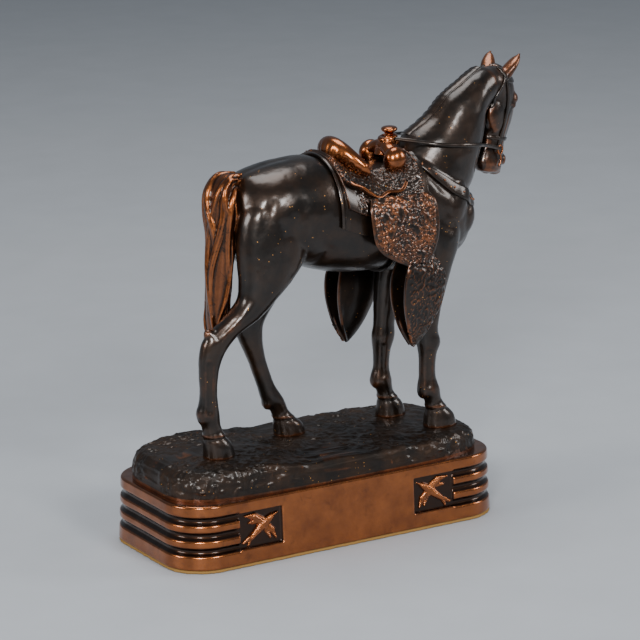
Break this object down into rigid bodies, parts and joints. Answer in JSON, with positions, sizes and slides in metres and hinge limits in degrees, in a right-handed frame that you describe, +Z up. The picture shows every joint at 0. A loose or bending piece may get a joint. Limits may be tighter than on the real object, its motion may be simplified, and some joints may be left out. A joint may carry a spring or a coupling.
{
  "type": "horse statuette",
  "caption": "Standing western saddle horse in dark cast metal with copper highlights, on a ribbed plinth with bird reliefs and a felt pad",
  "frame": {"origin": "centre of the felt underside, on the surface the statuette stands on", "axes": "+X the way the horse walks, +Y the horse's left side, +Z up"},
  "size_m": [0.2306, 0.086, 0.2308],
  "materials": {
    "dark_bronze": "glossy lacquered near-black bronze plating",
    "copper": "polished copper plating, dark in the recesses",
    "felt": "ochre felt",
    "steel": "zinc plated"
  },
  "bodies": {
    "root": {"felt_pad": "felt", "base_plinth": "copper", "relief_birds": "copper", "ground_mound": "dark_bronze", "torso": "dark_bronze", "neck": "dark_bronze", "head": "dark_bronze", "mane": "dark_bronze", "forelock": "dark_bronze", "right_foreleg": "dark_bronze", "left_foreleg": "dark_bronze", "right_hindleg": "dark_bronze", "left_hindleg": "dark_bronze", "tail": "copper", "saddle_blanket": "dark_bronze", "saddle_skirt": "copper", "seat_jockey": "dark_bronze", "cantle": "copper", "swell_fork": "copper", "saddle_horn": "copper", "right_fender": "copper", "left_fender": "copper", "right_tapadero": "copper", "left_tapadero": "copper", "cinch": "dark_bronze", "breast_collar": "dark_bronze", "headstall": "copper", "bit_rings": "copper", "right_rein": "dark_bronze", "left_rein": "dark_bronze", "joint_dowels": "steel", "mounting_screws": "steel", "screw_washers": "steel"}
  },
  "joints": []
}
